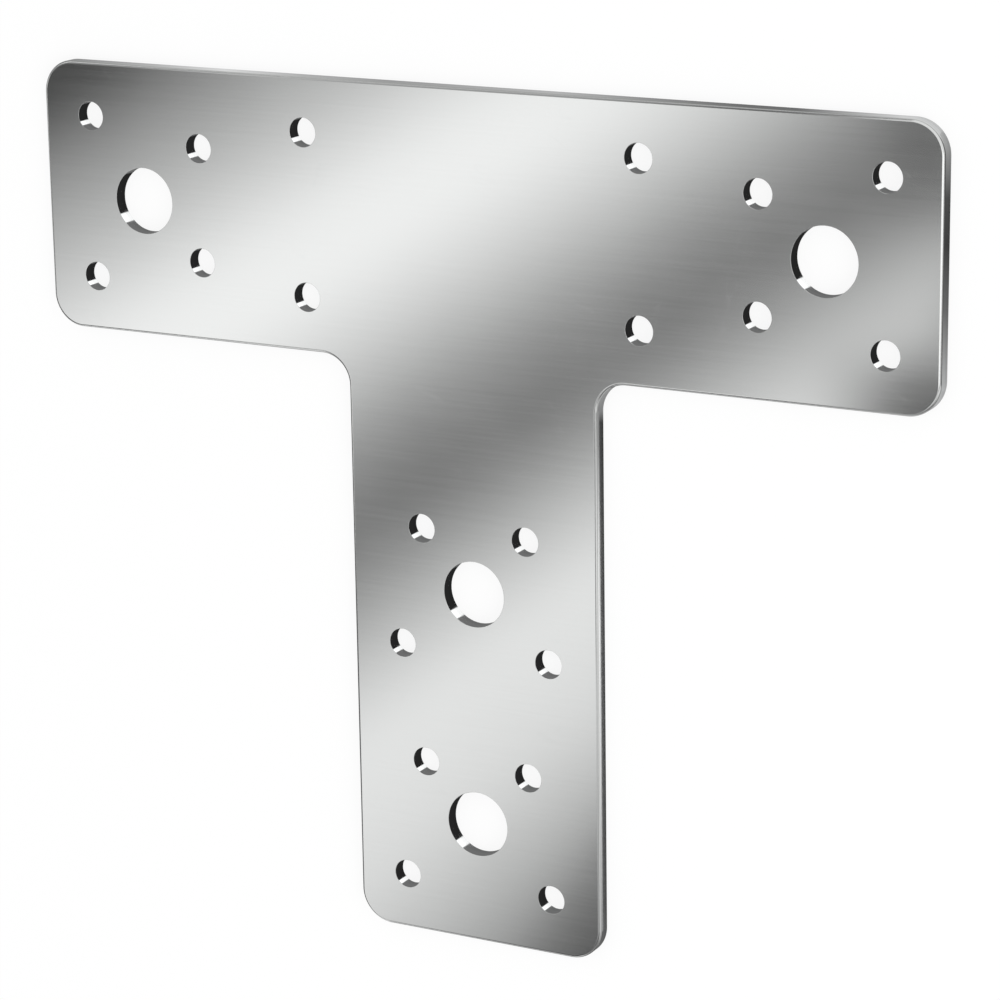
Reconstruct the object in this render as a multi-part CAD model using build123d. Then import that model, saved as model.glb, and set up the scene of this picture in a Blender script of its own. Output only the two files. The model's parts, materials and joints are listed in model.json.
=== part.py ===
from build123d import *
import os

# A T-shaped steel connector for timber framing: one flat sheet blank, cut to a T and pierced
# with bolt holes on its centre lines and pairs of nail holes beside them.
# It lies on its back face. X runs along the cross bar, the stem points to -Y and +Z leaves
# the front face. The origin is where the centre lines of bar and stem cross, on the back face.
# All sizes are in millimetres.

# Sheet and outline
sheet_thickness = 2.5
bar_length = 160.0          # the cross bar, end to end
bar_width = 45.0
stem_width = 45.0
stem_reach = 120.0          # from the bar's centre line to the stem's end
outer_corner_radius = 5.5
inner_corner_radius = 5.0   # in the two corners between bar and stem

# Edges of the blank
front_edge_rounding = 0.5   # the roll-over that the blanking tool leaves
back_edge_break = 0.15      # where the burr was taken off

# Holes
bolt_hole_diameter = 11.0
nail_hole_diameter = 4.8
hole_mouth_break = 0.15     # on the front face, where the punch went in
hole_exit_break = 0.1       # on the back face

# Nail holes come in pairs, either side of a centre line, in wide rows and in narrow ones
wide_pair_spacing = 27.0
narrow_pair_spacing = 19.0

# Rows of each half of the bar: the margin of its outermost row, and steps inwards from there
bar_end_margin = 9.0
bar_bolt_step = 10.0
bar_narrow_step = 21.0
bar_wide_step = 41.0

# Rows of the stem: the margin of its lowest row, and steps upwards from there
stem_end_margin = 9.5
stem_bolt_step = 11.0
stem_narrow_step = 20.5
stem_wide_step = 40.5
stem_upper_bolt_step = 50.5
stem_upper_narrow_step = 60.5


def blank_outline():
    """The outline of the blank: bar and stem in one, with every corner rounded."""
    with BuildSketch() as outline:
        Rectangle(bar_length, bar_width)
        Rectangle(stem_width, stem_reach, align=(Align.CENTER, Align.MAX))
        outer_corners = outline.vertices() - outline.vertices().filter_by(is_inner_corner)
        fillet(outer_corners, outer_corner_radius)
        fillet(outline.vertices().filter_by(is_inner_corner), inner_corner_radius)
    return outline.sketch


def is_inner_corner(corner):
    """True where the side of the stem runs into the bar."""
    beside_stem = abs(abs(corner.X) - stem_width / 2) < 0.001
    under_bar = abs(corner.Y + bar_width / 2) < 0.001
    return beside_stem and under_bar


def pair(along, spacing):
    """Two holes side by side, at one distance along a centre line."""
    return [(along, spacing / 2), (along, -spacing / 2)]


def bar_half_holes():
    """The nail and bolt holes of one half of the bar, as (distance from the middle, offset)."""
    outermost = bar_length / 2 - bar_end_margin
    nails = pair(outermost, wide_pair_spacing)
    nails += pair(outermost - bar_narrow_step, narrow_pair_spacing)
    nails += pair(outermost - bar_wide_step, wide_pair_spacing)
    bolts = [(outermost - bar_bolt_step, 0)]
    return nails, bolts


def stem_holes():
    """The nail and bolt holes of the stem, as (distance below the bar's centre line, offset)."""
    lowest = stem_reach - stem_end_margin
    nails = pair(lowest, wide_pair_spacing)
    nails += pair(lowest - stem_narrow_step, narrow_pair_spacing)
    nails += pair(lowest - stem_wide_step, wide_pair_spacing)
    nails += pair(lowest - stem_upper_narrow_step, narrow_pair_spacing)
    bolts = [(lowest - stem_bolt_step, 0)]
    bolts += [(lowest - stem_upper_bolt_step, 0)]
    return nails, bolts


def hole_centres():
    """Every nail hole and every bolt hole, as (x, y) on the plate."""
    bar_nails, bar_bolts = bar_half_holes()
    stem_nails, stem_bolts = stem_holes()
    nails = [(side * along, offset) for side in (-1, 1) for along, offset in bar_nails]
    nails += [(offset, -along) for along, offset in stem_nails]
    bolts = [(side * along, offset) for side in (-1, 1) for along, offset in bar_bolts]
    bolts += [(offset, -along) for along, offset in stem_bolts]
    return nails, bolts


def connector_plate():
    """The finished plate: blanked and pierced, its front outline rolled over and its other edges broken."""
    nails, bolts = hole_centres()
    with BuildPart() as plate:
        with BuildSketch():
            add(blank_outline())
            with Locations(*nails):
                Circle(nail_hole_diameter / 2, mode=Mode.SUBTRACT)
            with Locations(*bolts):
                Circle(bolt_hole_diameter / 2, mode=Mode.SUBTRACT)
        extrude(amount=sheet_thickness)
        fillet(front_face(plate).outer_wire().edges(), front_edge_rounding)
        chamfer(hole_edges(front_face(plate)), hole_mouth_break)
        chamfer(back_face(plate).outer_wire().edges(), back_edge_break)
        chamfer(hole_edges(back_face(plate)), hole_exit_break)
    return plate.part


def front_face(plate):
    return plate.faces().sort_by(Axis.Z)[-1]


def back_face(plate):
    return plate.faces().sort_by(Axis.Z)[0]


def hole_edges(face):
    """The rims of all the holes in one face of the plate."""
    return ShapeList(edge for wire in face.inner_wires() for edge in wire.edges())


os.makedirs("parts", exist_ok=True)
export_step(connector_plate(), "parts/connector_plate.step")
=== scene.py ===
# %% [markdown]
# # A T-shaped steel connector
#
# The object is one flat sheet of bright rolled steel, blanked to a T and pierced with holes.
# Almost everything the eye reads on it is a reflection: the broad soft bands on the face, the
# thin white line where the front edge rolls over, and the dark and pale crescents in the holes.
# So this lesson has two halves. First the plate is made with edges fine enough to carry those
# reflections. Then a small studio is built for it to mirror.

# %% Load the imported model
import bmesh
import bpy
import json
import math
from mathutils import Matrix, Vector


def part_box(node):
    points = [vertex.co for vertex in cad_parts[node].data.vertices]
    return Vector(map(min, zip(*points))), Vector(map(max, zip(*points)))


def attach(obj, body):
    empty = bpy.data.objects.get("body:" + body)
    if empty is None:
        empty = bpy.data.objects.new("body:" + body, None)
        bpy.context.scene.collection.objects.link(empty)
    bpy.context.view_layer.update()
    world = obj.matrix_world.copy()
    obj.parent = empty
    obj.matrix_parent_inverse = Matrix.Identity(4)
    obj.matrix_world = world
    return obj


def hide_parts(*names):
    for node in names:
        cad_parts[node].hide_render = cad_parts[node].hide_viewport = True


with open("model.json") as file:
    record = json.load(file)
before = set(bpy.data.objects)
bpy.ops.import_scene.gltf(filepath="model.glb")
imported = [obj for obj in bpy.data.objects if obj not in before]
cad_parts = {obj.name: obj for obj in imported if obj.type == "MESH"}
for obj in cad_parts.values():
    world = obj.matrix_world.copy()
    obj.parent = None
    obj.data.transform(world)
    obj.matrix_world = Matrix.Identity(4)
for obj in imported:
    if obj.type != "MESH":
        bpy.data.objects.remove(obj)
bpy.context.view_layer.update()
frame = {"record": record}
plate_low, plate_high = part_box("connector_plate")
print("plate", [round(v * 1000, 2) for v in plate_high - plate_low], "mm")

# %% [markdown]
# ## Sizes
#
# The plate lies on its back face, with X along the cross bar and the stem towards -Y. Its overall
# sizes come from the imported solid's bounding box. The widths, corner radii and edge roundings
# below repeat the plate's own design sizes, because a bounding box can't tell them. Only the holes'
# breaks are finer than the solid's, because the real rims look crisp.

# %% Sizes of the plate
mm = 0.001
bar_width = 45 * mm
stem_width = 45 * mm
outer_corner_radius = 5.5 * mm
inner_corner_radius = 5.0 * mm
front_edge_rounding = 0.5 * mm
back_edge_break = 0.15 * mm
hole_mouth_break = 0.05 * mm
hole_exit_break = 0.05 * mm

thickness = plate_high.z
bar_half = plate_high.x
stem_reach = -plate_low.y
print("thickness", round(thickness / mm, 2), "mm, stem reaches", round(stem_reach / mm, 1), "mm")

# %% [markdown]
# ## Where the holes are
#
# The record lists every hole as a mount: the bolt holes one by one, the nail holes as lines and
# rectangles. Reading them from there keeps this model and the solid in step, and no position is
# typed twice.

# %% Read the holes from the record's mounts
def pattern_offsets(spacing):
    """The places along one axis of a hole pattern: two when it has a spacing, else only its middle."""
    return (-spacing / 2, spacing / 2) if spacing else (0.0,)


def holes_of(mount):
    """(x, y, radius) of each hole that a mount describes, in metres."""
    x, y, _ = mount["pos_m"]
    dims = mount["dims"]
    if mount["kind"] == "bore":
        return [(x, y, dims["r_mm"] * mm)]
    if mount["kind"] != "bolt_pattern":
        return []
    across = pattern_offsets(dims.get("spacing_x_mm", 0) * mm)
    along = pattern_offsets(dims.get("spacing_y_mm", 0) * mm)
    return [(x + dx, y + dy, dims["hole_r_mm"] * mm) for dx in across for dy in along]


holes = [hole for mount in frame["record"]["mounts"] for hole in holes_of(mount)]
print(len(holes), "holes, radii in mm:", sorted({round(radius / mm, 2) for _, _, radius in holes}))

# %% [markdown]
# ## The outline
#
# A T has six corners that stick out and two that go in. Each is an arc, so the outline is kept as
# a loop of points that each know which way is outwards. With that direction, a copy of the loop
# can be drawn a little inside the first one, which is all that a rounded edge needs. A Bevel
# modifier could round the edges too, but it gives front and back the same width, and here they
# differ.

# %% Walk round the outline
corner_steps = 24
hole_steps = 96


def quarter_turn(corner, heading, radius, turn):
    """Points of one rounded corner. heading is the outward direction before it, in degrees."""
    before = Vector((math.cos(math.radians(heading)), math.sin(math.radians(heading))))
    after = Vector((-before.y, before.x)) * turn
    middle = Vector(corner) - (before + after) * radius * turn
    points = []
    for step in range(corner_steps + 1):
        angle = math.radians(heading + turn * 90 * step / corner_steps)
        outward = Vector((math.cos(angle), math.sin(angle)))
        points.append((middle + outward * radius * turn, outward))
    return points


def outline_loop():
    """The T, anticlockwise from the right end of the bar: a list of (point, outward direction)."""
    out, inwards = 1, -1
    bar_side, stem_side = bar_width / 2, stem_width / 2
    corners = [
        ((bar_half, -bar_side), -90, outer_corner_radius, out),
        ((bar_half, bar_side), 0, outer_corner_radius, out),
        ((-bar_half, bar_side), 90, outer_corner_radius, out),
        ((-bar_half, -bar_side), 180, outer_corner_radius, out),
        ((-stem_side, -bar_side), 270, inner_corner_radius, inwards),
        ((-stem_side, -stem_reach), 180, outer_corner_radius, out),
        ((stem_side, -stem_reach), -90, outer_corner_radius, out),
        ((stem_side, -bar_side), 0, inner_corner_radius, inwards),
    ]
    return [point for corner in corners for point in quarter_turn(*corner)]


def hole_loop(x, y, radius):
    """One round hole, clockwise, so that the steel is on the left as it is for the outline."""
    points = []
    for step in range(hole_steps):
        angle = -2 * math.pi * step / hole_steps
        spoke = Vector((math.cos(angle), math.sin(angle)))
        points.append((Vector((x, y)) + spoke * radius, -spoke))
    return points


outline = outline_loop()
print("outline has", len(outline), "points")

# %% [markdown]
# ## The edge, from front to back
#
# Blanking pulls the front edge down into a small round, the roll-over, and leaves the wall
# upright. At the back only the burr is gone. An edge profile lists how far in from the wall each
# ring lies, at what height, and how its surface is tilted. The tilt gives exact normals, so a
# round of half a millimetre shades as a true round and the face beside it stays perfectly flat.

# %% Edge profiles
round_steps = 8
wall_steps = 4


def edge_profile(front_round, back_round):
    """Rings from the front face to the back face, as (distance inwards, height, tilt)."""
    rings = []
    for step in range(round_steps + 1):
        tilt = math.pi / 2 * step / round_steps
        inwards = front_round * (1 - math.sin(tilt))
        rings.append((inwards, thickness - front_round * (1 - math.cos(tilt)), tilt))
    top, bottom = thickness - front_round, back_round
    for step in range(1, wall_steps):
        rings.append((0.0, top + (bottom - top) * step / wall_steps, math.pi / 2))
    for step in range(round_steps + 1):
        tilt = math.pi / 2 * (1 + step / round_steps)
        inwards = back_round * (1 - math.sin(tilt))
        rings.append((inwards, back_round * (1 + math.cos(tilt)), tilt))
    return rings


outline_profile = edge_profile(front_edge_rounding, back_edge_break)
hole_profile = edge_profile(hole_mouth_break, hole_exit_break)
print("each edge has", len(outline_profile), "rings")

# %% [markdown]
# ## The plate
#
# Every loop is swept down its profile into a wall. The rings left open at the top and the bottom
# are then filled with flat faces that go round the holes. Three finishes are told apart while the
# faces are made: the rolled face, the sheared wall of the outline and the punched walls of the
# holes.

# %% Build the plate's mesh
ROLLED, SHEARED, PUNCHED = 0, 1, 2


def sweep(mesh, loop, profile, wall_finish, normals):
    """Adds one loop's wall to the mesh. Returns its top ring and its bottom ring of vertices."""
    rings = []
    for inwards, height, tilt in profile:
        ring = []
        for point, outward in loop:
            place = point - outward * inwards
            ring.append(mesh.verts.new((place.x, place.y, height)))
            normals.append(Vector((*(outward * math.sin(tilt)), math.cos(tilt))))
        rings.append(ring)
    for number, (upper, lower) in enumerate(zip(rings, rings[1:])):
        on_front_round = number < round_steps
        for i in range(len(loop)):
            j = (i + 1) % len(loop)
            face = mesh.faces.new((upper[i], lower[i], lower[j], upper[j]))
            face.material_index = ROLLED if on_front_round else wall_finish
    return rings[0], rings[-1]


def fill(mesh, rings, up):
    """Closes one side of the plate with flat faces between the outline's ring and the holes' rings."""
    edges = []
    for ring in rings:
        for i in range(len(ring)):
            edges.append(mesh.edges.get((ring[i], ring[(i + 1) % len(ring)])))
    made = bmesh.ops.triangle_fill(mesh, edges=edges, use_beauty=True)
    for face in made["geom"]:
        if isinstance(face, bmesh.types.BMFace):
            face.normal_update()
            if (face.normal.z > 0) != up:
                face.normal_flip()
            face.material_index = ROLLED


def build_plate():
    """The finished plate as one closed mesh with exact normals."""
    mesh = bmesh.new()
    normals, tops, bottoms = [], [], []
    loops = [(outline, outline_profile, SHEARED)]
    loops += [(hole_loop(*hole), hole_profile, PUNCHED) for hole in holes]
    for loop, profile, finish in loops:
        top, bottom = sweep(mesh, loop, profile, finish, normals)
        tops.append(top)
        bottoms.append(bottom)
    fill(mesh, tops, up=True)
    fill(mesh, bottoms, up=False)
    data = bpy.data.meshes.new("t_plate")
    mesh.to_mesh(data)
    mesh.free()
    data.shade_smooth()
    data.normals_split_custom_set_from_vertices(normals)
    plate = bpy.data.objects.new("t_plate", data)
    bpy.context.scene.collection.objects.link(plate)
    return plate


plate = build_plate()
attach(plate, "root")
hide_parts("connector_plate")
print("plate has", len(plate.data.polygons), "faces")

# %% [markdown]
# ## Helpers for the shaders
#
# Every material and every card of the studio is a small tree of nodes. Nodes could be laid out by
# hand in the shader editor, but a script can be run again. These helpers add a node and set or
# link its inputs, so the cells below can be read as the trees themselves.

# %% Helpers for nodes and numbers
def add(tree, kind, inputs=None, **settings):
    """Adds a node, sets its properties, and sets or links its inputs by name or number."""
    node = tree.nodes.new(kind)
    for name, value in settings.items():
        setattr(node, name, value)
    for name, value in (inputs or {}).items():
        if isinstance(value, bpy.types.NodeSocket):
            tree.links.new(value, node.inputs[name])
        else:
            node.inputs[name].default_value = value
    return node


def compute(tree, operation, *values):
    """One Math node and its result."""
    return add(tree, "ShaderNodeMath", dict(enumerate(values)), operation=operation).outputs["Value"]


def vector_compute(tree, operation, *values):
    """One Vector Math node and its outputs."""
    return add(tree, "ShaderNodeVectorMath", dict(enumerate(values)), operation=operation).outputs


def object_place(tree):
    """Where the shaded point lies on its own object, in metres."""
    return add(tree, "ShaderNodeTexCoord").outputs["Object"]


def parts_of(tree, place):
    """The X, Y and Z of a place, each on its own."""
    return add(tree, "ShaderNodeSeparateXYZ", {0: place}).outputs


def noise_at(tree, place, scale, detail):
    """Soft noise round 0.5."""
    inputs = {"Vector": place, "Scale": scale, "Detail": detail}
    return add(tree, "ShaderNodeTexNoise", inputs).outputs["Fac"]


def rescale(tree, value, from_low, from_high, to_low=0.0, to_high=1.0):
    """Maps one range of values onto another, and stops at its ends."""
    inputs = {"Value": value, "From Min": from_low, "From Max": from_high,
              "To Min": to_low, "To Max": to_high}
    return add(tree, "ShaderNodeMapRange", inputs).outputs["Result"]


print("helpers for nodes and numbers are ready")

# %% [markdown]
# ## Helpers for colours
#
# A tone that changes from place to place comes from a colour ramp. A ramp knows only values from
# 0 to 1, so the helper below takes its stops in millimetres or degrees and rescales them. That way
# a list of tones can be read against the real plate.

# %% Helpers for colours
WHITE = (1.0, 1.0, 1.0, 1.0)


def grey(tone):
    """A colour that is the same in red, green and blue."""
    return (tone, tone, tone, 1.0)


def blend_colours(tree, factor, first, second, blend_type="MIX"):
    """Mixes two colours, which are inputs 6 and 7 and output 2 of the Mix node."""
    inputs = {0: factor, 6: first, 7: second}
    return add(tree, "ShaderNodeMix", inputs, data_type="RGBA", blend_type=blend_type).outputs[2]


def grey_ramp(tree, value, stops):
    """Greys along a range: stops is a list of (value, grey), in rising order."""
    first, last = stops[0][0], stops[-1][0]
    node = add(tree, "ShaderNodeValToRGB", {"Fac": rescale(tree, value, first, last)})
    elements = node.color_ramp.elements
    while len(elements) < len(stops):
        elements.new(1.0)
    for element, (position, tone) in zip(elements, stops):
        element.position = (position - first) / (last - first)
        element.color = grey(tone)
    return node.outputs["Color"]


print("helpers for colours are ready")

# %% [markdown]
# ## Helpers for groups and materials
#
# An effect that more than one finish needs is best kept in a node group, which is made once and
# placed wherever it is wanted with values of its own. A group's sockets belong to its interface,
# so they are declared there, and the group's inner nodes link to them.

# %% Helpers for groups and materials
FLOAT, VECTOR = "NodeSocketFloat", "NodeSocketVector"


def new_group(name, takes, gives):
    """A shader node group. takes and gives hold (name, socket type, default) of each socket."""
    group = bpy.data.node_groups.new(name, "ShaderNodeTree")
    for direction, sockets in (("INPUT", takes), ("OUTPUT", gives)):
        for label, kind, default in sockets:
            socket = group.interface.new_socket(label, in_out=direction, socket_type=kind)
            if default is not None:
                socket.default_value = default
    return group, group.nodes.new("NodeGroupInput").outputs, group.nodes.new("NodeGroupOutput").inputs


def place_group(tree, group, values):
    """Puts a group into a material with values of its own, and gives its outputs."""
    node = tree.nodes.new("ShaderNodeGroup")
    node.node_tree = group
    for name, value in values.items():
        node.inputs[name].default_value = value
    return node.outputs


def new_material(name):
    """An empty material and its node tree."""
    material = bpy.data.materials.new(name)
    material.use_nodes = True
    material.node_tree.nodes.clear()
    return material, material.node_tree


print("helpers for groups and materials are ready")

# %% [markdown]
# ## Lines that the tools leave
#
# Rolling leaves very fine lines along the sheet, and shearing drags lines down every cut. To a
# shader both are the same thing: noise drawn out in one direction. So one group makes both, and
# each material says how many features fit in a metre along X, Y and Z.

# %% Node group: drawn lines
def make_drawn_lines():
    group, takes, gives = new_group(
        "drawn_lines",
        [("Features Per Metre", VECTOR, (50.0, 3000.0, 3000.0)), ("Detail", FLOAT, 4.0)],
        [("Lines", FLOAT, None)],
    )
    here = object_place(group)
    stretched = vector_compute(group, "MULTIPLY", here, takes["Features Per Metre"])["Vector"]
    group.links.new(noise_at(group, stretched, 1.0, takes["Detail"]), gives["Lines"])
    return group


drawn_lines = make_drawn_lines()
print("made group", drawn_lines.name)

# %% [markdown]
# ## Scratches from handling
#
# Plates like this are tipped loose into a box, so the face carries a few hair-fine scratches. A
# scratch can be cut out of noise too: where a stretched noise crosses one value, it draws a thin
# wandering line. A second, coarser noise breaks the lines into short strokes. The group turns its
# pattern by an angle, so a material can lay two sets across each other.

# %% Node group: scratches
noise_middle = 0.5
stroke_breaks_per_metre = 140.0


def make_scratches():
    group, takes, gives = new_group(
        "scratches",
        [("Angle", FLOAT, 0.0), ("Features Per Metre", VECTOR, (25.0, 300.0, 25.0)),
         ("Width", FLOAT, 0.006), ("Rarity", FLOAT, 0.6)],
        [("Scratch", FLOAT, None)],
    )
    inputs = {"Vector": object_place(group), "Angle": takes["Angle"]}
    turned = add(group, "ShaderNodeVectorRotate", inputs, rotation_type="Z_AXIS").outputs["Vector"]
    stretched = vector_compute(group, "MULTIPLY", turned, takes["Features Per Metre"])["Vector"]
    from_crossing = compute(group, "SUBTRACT", noise_at(group, stretched, 1.0, 1.0), noise_middle)
    distance = compute(group, "ABSOLUTE", from_crossing)
    line = compute(group, "SUBTRACT", 1.0, rescale(group, distance, 0.0, takes["Width"]))
    breaks = noise_at(group, turned, stroke_breaks_per_metre, 0.0)
    kept = compute(group, "GREATER_THAN", breaks, takes["Rarity"])
    group.links.new(compute(group, "MULTIPLY", line, kept), gives["Scratch"])
    return group


scratches = make_scratches()
print("made group", scratches.name)

# %% [markdown]
# ## The rolled face
#
# Cold-rolled steel is smooth but not polished: it mirrors broad shapes and blurs small ones. That
# is a metal with a low roughness. The rolling lines and the scratches only tremble a little in
# tone, roughness and height, because at arm's length the sheet looks plain.

# %% Material: rolled face
steel_dark = (0.835, 0.845, 0.838, 1.0)
steel_light = (0.87, 0.88, 0.873, 1.0)
rolling_lines = {"Features Per Metre": (45.0, 2200.0, 2200.0)}
clouds_per_metre, cloud_detail = 60.0, 3.0
long_scratches = {"Angle": 0.35, "Rarity": 0.62}
cross_scratches = {"Angle": 1.9, "Rarity": 0.66}
grain_range = (0.3, 0.7)
face_roughness = (0.135, 0.165)
scratch_roughness = 0.02
scratch_depth = 2.0
rolling_line_height = 0.15e-6


def bare_metal(tree, tone, roughness, height, height_in_metres):
    """A metal surface with a colour, a roughness and a relief, linked to the material's output."""
    bump = add(tree, "ShaderNodeBump", {"Height": height, "Distance": height_in_metres, "Strength": 1.0})
    inputs = {"Base Color": tone, "Metallic": 1.0, "Roughness": roughness, "Normal": bump.outputs["Normal"]}
    surface = add(tree, "ShaderNodeBsdfPrincipled", inputs)
    add(tree, "ShaderNodeOutputMaterial", {"Surface": surface.outputs["BSDF"]})


def rolled_face():
    material, tree = new_material("rolled_face")
    lines = place_group(tree, drawn_lines, rolling_lines)["Lines"]
    clouds = noise_at(tree, object_place(tree), clouds_per_metre, cloud_detail)
    marks = compute(tree, "MAXIMUM", place_group(tree, scratches, long_scratches)["Scratch"],
                    place_group(tree, scratches, cross_scratches)["Scratch"])
    grain = compute(tree, "MULTIPLY", compute(tree, "ADD", lines, clouds), 0.5)
    tone = blend_colours(tree, rescale(tree, grain, *grain_range), steel_dark, steel_light)
    roughness = compute(tree, "ADD", rescale(tree, grain, *grain_range, *face_roughness),
                        compute(tree, "MULTIPLY", marks, scratch_roughness))
    height = compute(tree, "SUBTRACT", lines, compute(tree, "MULTIPLY", marks, scratch_depth))
    bare_metal(tree, tone, roughness, height, rolling_line_height)
    return material


plate.data.materials.append(rolled_face())
print("finish", ROLLED, "is", plate.data.materials[ROLLED].name)

# %% [markdown]
# ## The cut walls
#
# A punch or a shear first rubs the steel smooth and then tears it. So the upper part of a cut wall
# is burnished and the rest is a little duller, with a ragged border between them. Lines dragged
# down the cut run across both. The holes' walls are brighter than the outline's, because the punch
# rubs them once more on its way out. Both finishes share one function and differ in its numbers.

# %% Materials: sheared wall and punched wall
dragged_lines = {"Features Per Metre": (3500.0, 3500.0, 150.0)}
line_range = (0.2, 0.8)
burnished_range = (0.9 * mm, 1.3 * mm)
ragged_border = 0.3 * mm
torn_dullness = 0.9
line_roughness = 0.03


def cut_wall(name, colour, burnished_roughness, torn_roughness, line_height):
    material, tree = new_material(name)
    lines = place_group(tree, drawn_lines, dragged_lines)["Lines"]
    height_on_wall = parts_of(tree, object_place(tree))["Z"]
    raggedness = rescale(tree, lines, *line_range, -ragged_border, ragged_border)
    burnish = rescale(tree, compute(tree, "ADD", height_on_wall, raggedness), *burnished_range)
    torn_tone = tuple(channel * torn_dullness for channel in colour[:3]) + (1.0,)
    tone = blend_colours(tree, burnish, torn_tone, colour)
    base = rescale(tree, burnish, 0.0, 1.0, torn_roughness, burnished_roughness)
    trembling = rescale(tree, lines, *line_range, -line_roughness, line_roughness)
    bare_metal(tree, tone, compute(tree, "ADD", base, trembling), lines, line_height)
    return material


sheared_wall = cut_wall("sheared_wall", colour=(0.78, 0.79, 0.79, 1.0), burnished_roughness=0.1,
                        torn_roughness=0.15, line_height=0.35e-6)
punched_wall = cut_wall("punched_wall", colour=(0.92, 0.93, 0.93, 1.0), burnished_roughness=0.08,
                        torn_roughness=0.12, line_height=0.2e-6)
for number, finish in ((SHEARED, sheared_wall), (PUNCHED, punched_wall)):
    plate.data.materials.append(finish)
    print("finish", number, "is", finish.name)

# %% [markdown]
# ## The camera
#
# The photograph looks at the front face from the plate's right and a little from above, from a
# little over half a metre away, so the bar narrows slightly towards its left end. The camera's
# place, its turn and its long lens were found by fitting all 24 holes and the straight edges
# together.

# %% Camera
camera_place = Vector((271.98, 109.28, 492.59)) * mm
camera_turn = Vector((0.26542, -0.49365, -0.05181))
lens_in_pixels = 3615.3
picture_pixels = 1000

camera_data = bpy.data.cameras.new("camera")
camera_data.sensor_width = 36.0
camera_data.lens = camera_data.sensor_width * lens_in_pixels / picture_pixels
camera = bpy.data.objects.new("camera", camera_data)
turn = Matrix.Rotation(-camera_turn.length, 4, camera_turn)
camera.matrix_world = Matrix.Translation(camera_place) @ turn
bpy.context.scene.collection.objects.link(camera)
bpy.context.scene.camera = camera
print("lens", round(camera_data.lens, 1), "mm")

# %% [markdown]
# ## Cards that only metal can see
#
# Bright metal has hardly any colour of its own. A photographer shapes it with white and grey cards
# that stand just outside the picture. In Blender a card is a mesh with an Emission material. Its
# ray visibility is cut down to glossy rays, so it draws a reflection on the plate and does nothing
# else: it lights no floor, casts no shadow and isn't in the picture.

# %% Helpers for the studio
def stage_mesh(name, vertices, faces):
    """A mesh that belongs to the studio and not to the part."""
    data = bpy.data.meshes.new(name)
    data.from_pydata(vertices, [], faces)
    thing = bpy.data.objects.new(name, data)
    bpy.context.scene.collection.objects.link(thing)
    return thing


def level_square(half_side, height):
    """The four corners of a level square round the origin."""
    return [(x, y, height) for x, y in ((-half_side, -half_side), (half_side, -half_side),
                                        (half_side, half_side), (-half_side, half_side))]


def glowing_card(card, make_tone):
    """Gives a card a plain glow that only reflections show. make_tone(tree) builds its colour."""
    material, tree = new_material(card.name)
    glow = add(tree, "ShaderNodeEmission", {"Color": make_tone(tree), "Strength": 1.0})
    add(tree, "ShaderNodeOutputMaterial", {"Surface": glow.outputs["Emission"]})
    material.cycles.emission_sampling = "NONE"
    card.data.materials.append(material)
    card.visible_camera = False
    card.visible_diffuse = False
    card.visible_shadow = False
    card.visible_transmission = False
    print(card.name, "has", len(card.data.vertices), "corners")


def seen_directly(tree):
    """1 for rays that show the background itself: the camera's, and those that metal or glass sends on."""
    ray = add(tree, "ShaderNodeLightPath").outputs
    sent_on = compute(tree, "MAXIMUM", ray["Is Glossy Ray"], ray["Is Transmission Ray"])
    return compute(tree, "MAXIMUM", ray["Is Camera Ray"], sent_on)


print("helpers for the studio are ready")

# %% [markdown]
# ## The floor
#
# The part was photographed on white. The floor is matt white, and where it is seen directly most
# of it is swapped for a plain glow of strength 1, which renders as pure white. The share that
# stays matt keeps a faint shadow under the plate. The shiny cut walls would mirror the floor
# beside them as a broad white line, where the photograph has grey, so the floor is left out of
# reflections. Narrow cards take its place there, further down.

# %% Floor
floor_reach = 12.0
floor_glow = 0.86
floor_white = grey(0.95)


def white_floor():
    material, tree = new_material("white_floor")
    painted = add(tree, "ShaderNodeBsdfDiffuse", {"Color": floor_white}).outputs["BSDF"]
    glow = add(tree, "ShaderNodeEmission", {"Color": WHITE, "Strength": 1.0}).outputs["Emission"]
    share = compute(tree, "MULTIPLY", seen_directly(tree), floor_glow)
    mixed = add(tree, "ShaderNodeMixShader", {0: share, 1: painted, 2: glow})
    add(tree, "ShaderNodeOutputMaterial", {"Surface": mixed.outputs["Shader"]})
    material.cycles.emission_sampling = "NONE"
    return material


floor = stage_mesh("floor", level_square(floor_reach, 0.0), [(0, 1, 2, 3)])
floor.data.materials.append(white_floor())
floor.visible_glossy = False
print("floor is", 2 * floor_reach, "m wide")

# %% [markdown]
# ## The tent of light
#
# Round everything hangs a white tent, which is the world. To the camera, and in what metal or
# glass sends on, it is white. As a light it is a little weaker, so that pale things don't clip.

# %% World
tent_light = 0.9


def white_tent():
    world = bpy.data.worlds.new("white_tent")
    world.use_nodes = True
    tree = world.node_tree
    tree.nodes.clear()
    strength = rescale(tree, seen_directly(tree), 0.0, 1.0, tent_light, 1.0)
    tent = add(tree, "ShaderNodeBackground", {"Color": WHITE, "Strength": strength})
    add(tree, "ShaderNodeOutputWorld", {"Surface": tent.outputs["Background"]})
    return world


bpy.context.scene.world = white_tent()
print("the tent lights with strength", tent_light)

# %% [markdown]
# ## The scrim
#
# The broad soft bands on the face are the mirror image of a large lit sheet above it, a scrim. A
# flat mirror makes this easy to plan. Seen from the camera, each point of the face shows one point
# of the scrim: its own place times a gain, moved by a shift, and both follow from the camera's
# height and the scrim's. So the bands can be written down in millimetres along the plate, where
# they can be read off the photograph, and the card undoes the gain and the shift. The face is a
# little rough, and that blurs the bands as the real sheet does.

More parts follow.
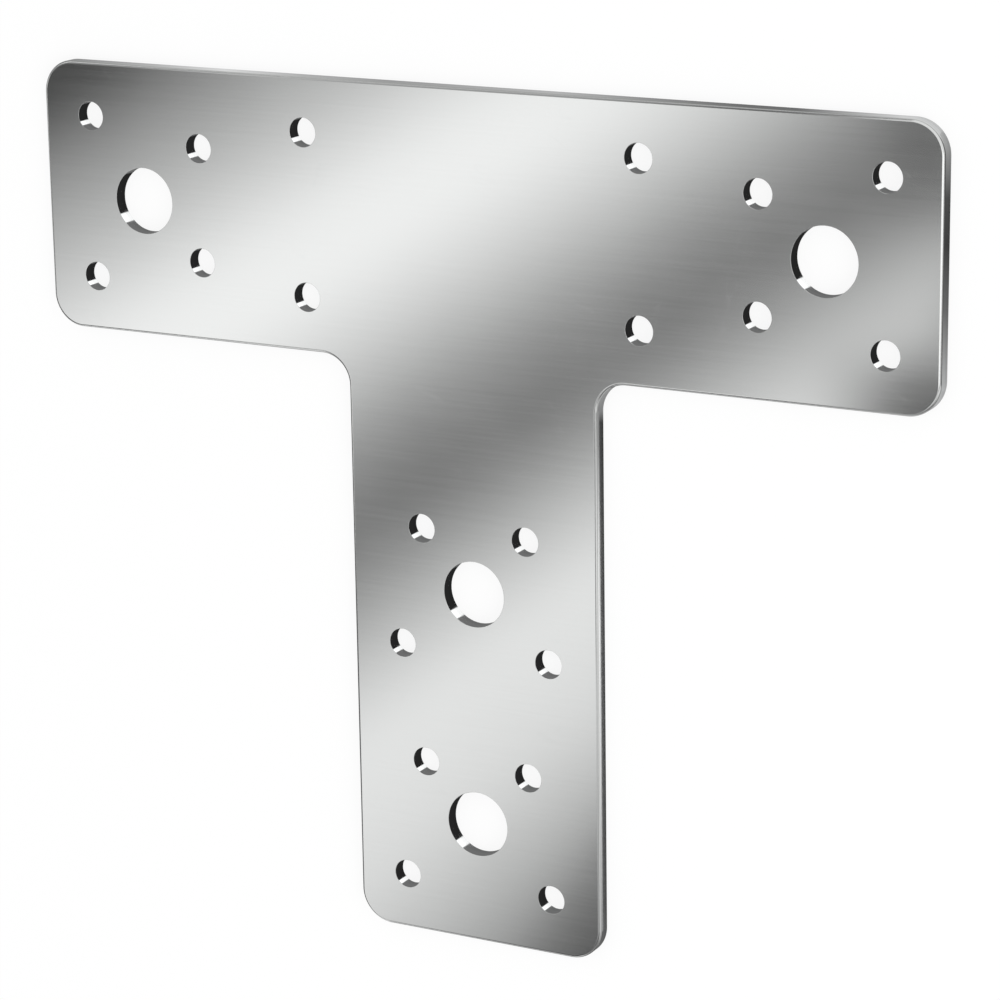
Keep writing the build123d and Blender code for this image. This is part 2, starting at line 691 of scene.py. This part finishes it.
# %% Where the scrim hangs
scrim_height = 150 * mm
scrim_half_side = 420 * mm
rim = (scrim_half_side / mm, 370.0)
camera_above_face = camera_place.z - thickness
mirror_gain = 1 + scrim_height / camera_above_face
mirror_shift = Vector((camera_place.x, camera_place.y, 0)) * (scrim_height / camera_above_face)
print("1 mm of the face shows", round(mirror_gain, 2), "mm of the scrim")

# %% [markdown]
# ## The tones on the scrim
#
# Two patterns cross on the face. Bands that slope up to the right follow each other from the
# bar's left end to the stem's foot, and bend a little on their way. A wedge darkens the bar's
# lower right corner and the right side of the stem's foot. The one multiplies the other, and two
# small dark corners at the bar's right end are laid over them.
#
# Beyond the part of the scrim that the face shows lie areas for the rolled-over edges, which look
# past it: one for the bar's top edge, one for the right sides of stem and bar, which also reaches
# under the bar, and a dark one for the stem's left side. Two light areas far out are for other
# views, where the face mirrors them. All are plain lists of a place in millimetres and a grey. An
# area is written as the two ends of its border in X, the two ends in Y, and its grey.

# %% Tones for the face
band_direction = (0.54, -0.841, 0.0)
band_bend = (0.00132, -0.00197, 0.0)
bands = [
    (-105, 1.0), (-85, 0.19), (-60, 0.01), (-44, 0.34), (-28, 0.66), (-16, 1.02), (-6, 1.07), (4, 0.8),
    (18, 0.33), (28, 0.15), (34, 0.31), (50, 0.95), (62, 0.82), (80, 0.2), (96, 0.42), (110, 0.3)]
wedge_direction = (0.851, -0.526, 0.0)
wedge = [
    (62, 1.0), (68.5, 1.0), (72.5, 0.51), (81.5, 0.41), (88.5, 0.0), (112, 0.02), (142, 1.0)]
bar_corners = [((59.0, 73.3), (-11.5, -17.5), 0.072), ((68.6, 72.6), (4.9, 12.7), 0.127)]
print(len(bands) + len(wedge), "tones for the face")

# %% Tones for the edges round the face
top_edge_direction = (1.0, 0.12, 0.0)
above_bar = [
    (-63, 0.2), (-36, 0.62), (-21, 0.42), (-6, 0.34), (24, 0.38), (39, 0.26), (54, 0.11), (64, 0.12),
    (73, 0.35), (79, 0.8)]
above_bar_y = (4.0, 16.0)
right_of_stem = [
    (-230, 0.12), (-185, 0.3), (-160, 0.42), (-103, 0.85), (-93, 0.72), (-83, 0.42), (-74, 0.3),
    (-68, 0.3), (-60, 1.15)]
right_of_stem_x = (36.0, 56.0)
under_bar = ((-44.0, -34.0), (-112.0, -124.0))
far_right = ((260.0, 310.0), (-110.0, -90.0), 0.2)
far_corner = ((230.0, 270.0), (-115.0, -145.0), 0.85)
far_behind = ((-215.0, -265.0), (90.0, 140.0), 0.85)
left_of_stem = ((-205.0, -235.0), (-78.0, -95.0), 0.06)
print(len(above_bar) + len(right_of_stem), "tones for the edges")

# %% [markdown]
# ## Areas with soft borders
#
# A part of the scrim that needs a tone of its own could be a card of its own, but its edge would
# show as a hard step in the metal. So all are painted on one card. Each area is laid over the ones
# before it by a mask that rises from 0 to 1 across a soft border.

# %% Helpers for painting
def along(tree, place, direction):
    """How far a place lies along a direction."""
    return vector_compute(tree, "DOT_PRODUCT", place, direction)["Value"]


def times(tree, place, factor):
    """A place with all three of its numbers multiplied."""
    return vector_compute(tree, "MULTIPLY", place, (factor,) * 3)["Vector"]


def area(tree, place, across, down):
    """1 inside an area and 0 outside it. across and down hold where its X and Y borders begin and end."""
    inside_x, inside_y = rescale(tree, place["X"], *across), rescale(tree, place["Y"], *down)
    return compute(tree, "MULTIPLY", inside_x, inside_y)


def lay_over(tree, place, tone, across, down, area_grey):
    """Lays an area of one grey over a tone."""
    return blend_colours(tree, area(tree, place, across, down), tone, grey(area_grey))


print("helpers for painting are ready")

# %% [markdown]
# ## Painting the scrim
#
# The tones of the face come first, then what lies right of the face and above it. At its rim the
# scrim fades into the white of the tent. Only the area under the bar and the one left of the stem
# go on over the rim, because a few edges look just there.

# %% Scrim
def face_tone(tree, on_face):
    """The bands, the wedge and the two dark corners at the bar's right end, as the face shows them."""
    place = parts_of(tree, on_face)
    bend = compute(tree, "MULTIPLY", place["Y"], along(tree, on_face, band_bend))
    bent = compute(tree, "ADD", along(tree, on_face, band_direction), bend)
    across_wedge = grey_ramp(tree, along(tree, on_face, wedge_direction), wedge)
    tone = blend_colours(tree, 1.0, grey_ramp(tree, bent, bands), across_wedge, "MULTIPLY")
    for corner in bar_corners:
        tone = lay_over(tree, place, tone, *corner)
    return tone


def scrim_tone(tree):
    """The whole scrim. card is a place on it in mm, and on_face the place of the face that shows it."""
    here = object_place(tree)
    card = parts_of(tree, times(tree, here, 1 / mm))
    shifted = vector_compute(tree, "ADD", here, mirror_shift)["Vector"]
    on_face = times(tree, shifted, 1 / mm / mirror_gain)
    tone = face_tone(tree, on_face)
    beside = grey_ramp(tree, card["Y"], right_of_stem)
    for far in (far_right, far_corner):
        beside = lay_over(tree, card, beside, *far)
    tone = blend_colours(tree, rescale(tree, card["X"], *right_of_stem_x), tone, beside)
    above = grey_ramp(tree, along(tree, on_face, top_edge_direction), above_bar)
    tone = blend_colours(tree, rescale(tree, card["Y"], *above_bar_y), tone, above)
    tone = lay_over(tree, card, tone, *far_behind)
    from_middle = {axis: compute(tree, "ABSOLUTE", card[axis]) for axis in ("X", "Y")}
    tone = blend_colours(tree, area(tree, from_middle, rim, rim), WHITE, tone)
    tone = blend_colours(tree, area(tree, card, *under_bar), tone, beside)
    return lay_over(tree, card, tone, *left_of_stem)


scrim = stage_mesh("scrim", level_square(scrim_half_side, thickness + scrim_height), [(0, 1, 2, 3)])
glowing_card(scrim, scrim_tone)

# %% [markdown]
# ## The curtain
#
# A cut wall mirrors what lies below it, and the lower half of a rolled-over edge mirrors what lies
# out level. Neither shows the scrim. A round curtain, closed at the bottom, stands for what is
# there. Its tone depends on the direction, and changes from one set of tones low down to another
# at the plate's level, then to white above. Low down it is almost black on one side and grey on
# the other with a white slot between them, and that gives each hole its black crescent, its small
# white notch and its grey lower side.

# %% Tones of the curtain, as (direction in degrees from +X, grey)
low_tones = [
    (-180, 0.16), (-124, 0.16), (-118, 0.02), (38, 0.02), (40, 1.15), (75, 1.15), (77, 0.16), (180, 0.16)]
level_tones = [
    (-180, 0.3), (-168, 0.3), (-164, 0.06), (-145, 0.06), (-125, 0.9), (-120, 0.9), (-116, 0.5),
    (-100, 0.5), (-85, 0.2), (-60, 0.2), (-40, 0.35), (-24, 0.6), (-19, 0.6), (-16, 0.2), (0, 0.16),
    (40, 0.3), (90, 0.5), (120, 0.4), (150, 0.2), (180, 0.3)]
curtain_steps = 96
curtain_radius = 1.5
curtain_low, curtain_high = -1.5, 1.2
low_to_level = (-0.4, -0.1)
level_to_tent = (0.3, 1.1)
print("tones in", len(low_tones) + len(level_tones), "directions")


# %% Curtain
def curtain_tone(tree):
    here = parts_of(tree, object_place(tree))
    direction = compute(tree, "DEGREES", compute(tree, "ARCTAN2", here["Y"], here["X"]))
    low = grey_ramp(tree, direction, low_tones)
    level = grey_ramp(tree, direction, level_tones)
    around = blend_colours(tree, rescale(tree, here["Z"], *low_to_level), low, level)
    return blend_colours(tree, rescale(tree, here["Z"], *level_to_tent), around, WHITE)


def curtain_mesh():
    """A round wall of flat panels with a bottom."""
    turns = [2 * math.pi * step / curtain_steps for step in range(curtain_steps)]
    vertices = [(curtain_radius * math.cos(turn), curtain_radius * math.sin(turn), height)
                for height in (curtain_low, curtain_high) for turn in turns]
    faces = [tuple(range(curtain_steps))]
    for i in range(curtain_steps):
        j = (i + 1) % curtain_steps
        faces.append((i, j, curtain_steps + j, curtain_steps + i))
    return stage_mesh("curtain", vertices, faces)


glowing_card(curtain_mesh(), curtain_tone)

# %% [markdown]
# ## Strips under the edges
#
# The walls along the bar's top, its right end and the stem's right side change their tone slowly
# along their length, which no far curtain can give them. They mirror what lies steeply below, and
# the floor is left out of reflections, so a narrow strip close under it lies in the path of one
# wall and of nothing else. Each strip is a ribbon of quads with a grey on every station. The stem
# has two strips side by side for its wall, which shows a dark line below and the tone of the face
# above it. One more strip, further out, stands before the lower half of the roll-over along the
# top, and another before the stem's. Three short ones serve the walls that turn round the right
# corners.

# %% Tones of the strips: the axis each runs along, its two sides in mm, and (place in mm, grey)
strip_depth = -3 * mm
strips = {
    "top_strip": ("X", 22, 29, [
        (-82, 0.27), (-63, 0.5), (-48, 0.78), (-33, 0.5), (-17, 0.38), (13, 0.52), (28, 0.34), (45, 0.18),
        (54, 0.18), (71, 0.7), (82, 0.7), (90, 0.55)]),
    "top_outer_strip": ("X", 29, 90, [
        (-85, 0.3), (-52, 0.75), (-37, 0.45), (-22, 0.35), (8, 0.45), (39, 0.2), (49, 0.17), (68, 0.7),
        (95, 0.75)]),
    "upper_corner_strip": ("X", 20, 22, [(76, 0.6), (79.7, 0.55)]),
    "right_strip": ("Y", 79.7, 90, [
        (-20, 0.55), (-13, 0.33), (-7, 0.17), (3, 0.06), (10, 0.09), (15, 0.27), (22, 0.5)]),
    "corner_strip": ("X", -27, -20, [(74, 0.5), (90, 0.5)]),
    "stem_lower_strip": ("Y", 21.5, 24.85, [
        (-130, 0.16), (-118, 0.14), (-112, 0.08), (-98, 0.07), (-30.3, 0.05), (-28.3, 0.33),
        (-22, 0.33)]),
    "stem_upper_strip": ("Y", 24.85, 34, [
        (-130, 0.35), (-114, 0.45), (-88, 0.85), (-65, 1.05), (-50, 0.85), (-34, 0.38), (-22, 0.33)]),
    "stem_outer_strip": ("Y", 34, 90, [
        (-135, 0.35), (-113, 0.45), (-93, 0.7), (-73, 0.87), (-60, 0.85), (-48, 0.55), (-38, 0.3),
        (-27, 0.27)]),
    "foot_corner_strip": ("Y", 12, 21.5, [(-132, 0.16), (-116, 0.16)]),
}
print(len(strips), "strips")


# %% Edge strips
def strip_tone(tree):
    """The grey that the strip's stations carry."""
    return add(tree, "ShaderNodeAttribute", attribute_name="tone").outputs["Color"]


def edge_strip(name, axis, low, high, stations):
    """A ribbon under the floor. It runs along one axis, spans low to high on the other, and has a
    grey at each station along it."""
    vertices, tones = [], []
    for place, tone in stations:
        for side in (low, high):
            x, y = (place, side) if axis == "X" else (side, place)
            vertices.append((x * mm, y * mm, strip_depth))
            tones.append(tone)
    faces = [(2 * i, 2 * i + 1, 2 * i + 3, 2 * i + 2) for i in range(len(stations) - 1)]
    strip = stage_mesh(name, vertices, faces)
    painted = strip.data.color_attributes.new("tone", "FLOAT_COLOR", "POINT")
    for entry, tone in zip(painted.data, tones):
        entry.color = grey(tone)
    glowing_card(strip, strip_tone)


for name, values in strips.items():
    edge_strip(name, *values)

# %% [markdown]
# ## The key lamp
#
# The tent alone would leave the plate floating. One wide, weak lamp from the right gives it a soft
# shadow to lie on. It is hidden from reflections, where the scrim already is the light.

# %% Key lamp
lamp_place = Vector((0.9, -0.2, 0.7))
lamp_aim = Vector((0.0, -0.04, 0.0))
lamp_width = 0.8
lamp_watts = 4.0

lamp_data = bpy.data.lights.new("key_lamp", "AREA")
lamp_data.shape = "DISK"
lamp_data.size = lamp_width
lamp_data.energy = lamp_watts
lamp = bpy.data.objects.new("key_lamp", lamp_data)
lamp.location = lamp_place
lamp.rotation_euler = (lamp_aim - lamp_place).to_track_quat("-Z", "Y").to_euler()
lamp.visible_camera = False
lamp.visible_glossy = False
bpy.context.scene.collection.objects.link(lamp)
print("key lamp is", round((lamp_aim - lamp_place).length, 2), "m away")

# %% [markdown]
# ## The view transform
#
# Standard is the plain view transform: a surface lit at an even level renders about as its colour
# is written.

# %% View transform
bpy.context.scene.view_settings.view_transform = "Standard"
